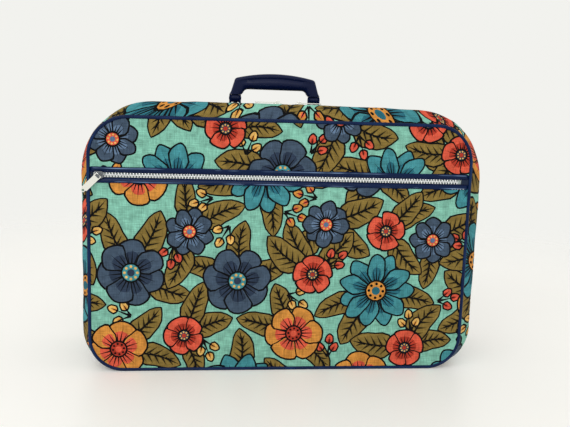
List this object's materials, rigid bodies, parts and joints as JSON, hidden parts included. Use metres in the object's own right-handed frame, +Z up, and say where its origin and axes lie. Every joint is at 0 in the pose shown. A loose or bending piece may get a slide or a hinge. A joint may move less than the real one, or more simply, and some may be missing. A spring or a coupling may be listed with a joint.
{
  "type": "suitcase",
  "caption": "Soft-sided zip suitcase with a printed cloth cover, dark piped edges, a full-width front pocket zip and a folding carry handle on top.",
  "frame": {"origin": "centre of the base, on the surface the case stands on", "axes": "+X along the width to the right seen from the front, -Y out of the front panel, +Z up towards the handle"},
  "size_m": [0.5123, 0.158, 0.3823],
  "materials": {
    "printed_cloth": "woven, printed",
    "band_cloth": "woven, printed",
    "lining_cloth": "plain woven",
    "fibreboard": "raw board",
    "piping_vinyl": "smooth vinyl",
    "binding_vinyl": "smooth vinyl",
    "zip_tape": "woven tape",
    "zip_metal": "bright",
    "slider_metal": "polished",
    "steel": "plain",
    "handle_plastic": "satin"
  },
  "bodies": {
    "case": {"case_band": "band_cloth", "back_cloth": "printed_cloth", "back_board": "fibreboard", "back_lining": "lining_cloth", "back_piping": "piping_vinyl", "back_wire": "steel", "case_zip_tape": "zip_tape", "case_zip_teeth": "zip_metal", "main_zip_stops": "zip_metal", "hinge_cloth": "band_cloth", "handle_plate": "steel", "bracket_left": "handle_plastic", "bracket_right": "handle_plastic", "rivets": "steel", "handle_pins": "steel"},
    "lid": {"lid_band": "band_cloth", "upper_front_cloth": "printed_cloth", "pocket_cloth": "printed_cloth", "pocket_lining": "lining_cloth", "front_board": "fibreboard", "lid_lining": "lining_cloth", "front_piping": "piping_vinyl", "front_wire": "steel", "lid_zip_tape": "zip_tape", "lid_zip_teeth": "zip_metal", "upper_binding": "binding_vinyl", "lower_binding": "binding_vinyl", "upper_tape": "zip_tape", "lower_tape": "zip_tape", "upper_teeth": "zip_metal", "lower_teeth": "zip_metal", "pocket_stops": "zip_metal"},
    "handle": {"handle": "handle_plastic"},
    "pocket_slider": {"pocket_slider": "slider_metal"},
    "pocket_pull": {"pocket_pull": "slider_metal"},
    "left_slider": {"left_slider": "slider_metal"},
    "left_pull": {"left_pull": "slider_metal"},
    "right_slider": {"right_slider": "slider_metal"},
    "right_pull": {"right_pull": "slider_metal"}
  },
  "joints": [
    {"name": "lid_hinge", "type": "hinge", "parent": "case", "child": "lid", "pos_m": [0, -0.07328, 0.00225], "axis": [1, 0, 0], "range_deg": [0, 88]},
    {"name": "handle_swing", "type": "hinge", "parent": "case", "child": "handle", "pos_m": [-0.013, 0.022, 0.34875], "axis": [1, 0, 0], "range_deg": [-80, 80]},
    {"name": "pocket_slide", "type": "slide", "parent": "lid", "child": "pocket_slider", "axis": [1, 0, 0], "range_m": [0, 0.445]},
    {"name": "pocket_pull_swing", "type": "hinge", "parent": "pocket_slider", "child": "pocket_pull", "pos_m": [-0.233, -0.07712, 0.25025], "axis": [-0.7071, 0, 0.7071], "range_deg": [0, 150]},
    {"name": "left_slide", "type": "slide", "parent": "case", "child": "left_slider", "axis": [-1, 0, 0], "range_m": [0, 0.145]},
    {"name": "left_pull_swing", "type": "hinge", "parent": "left_slider", "child": "left_pull", "pos_m": [-0.014, -0.03327, 0.34395], "axis": [0, 1, 0], "range_deg": [0, 110]},
    {"name": "right_slide", "type": "slide", "parent": "case", "child": "right_slider", "axis": [1, 0, 0], "range_m": [0, 0.145]},
    {"name": "right_pull_swing", "type": "hinge", "parent": "right_slider", "child": "right_pull", "pos_m": [0.014, -0.03327, 0.34395], "axis": [0, -1, 0], "range_deg": [0, 110]}
  ]
}
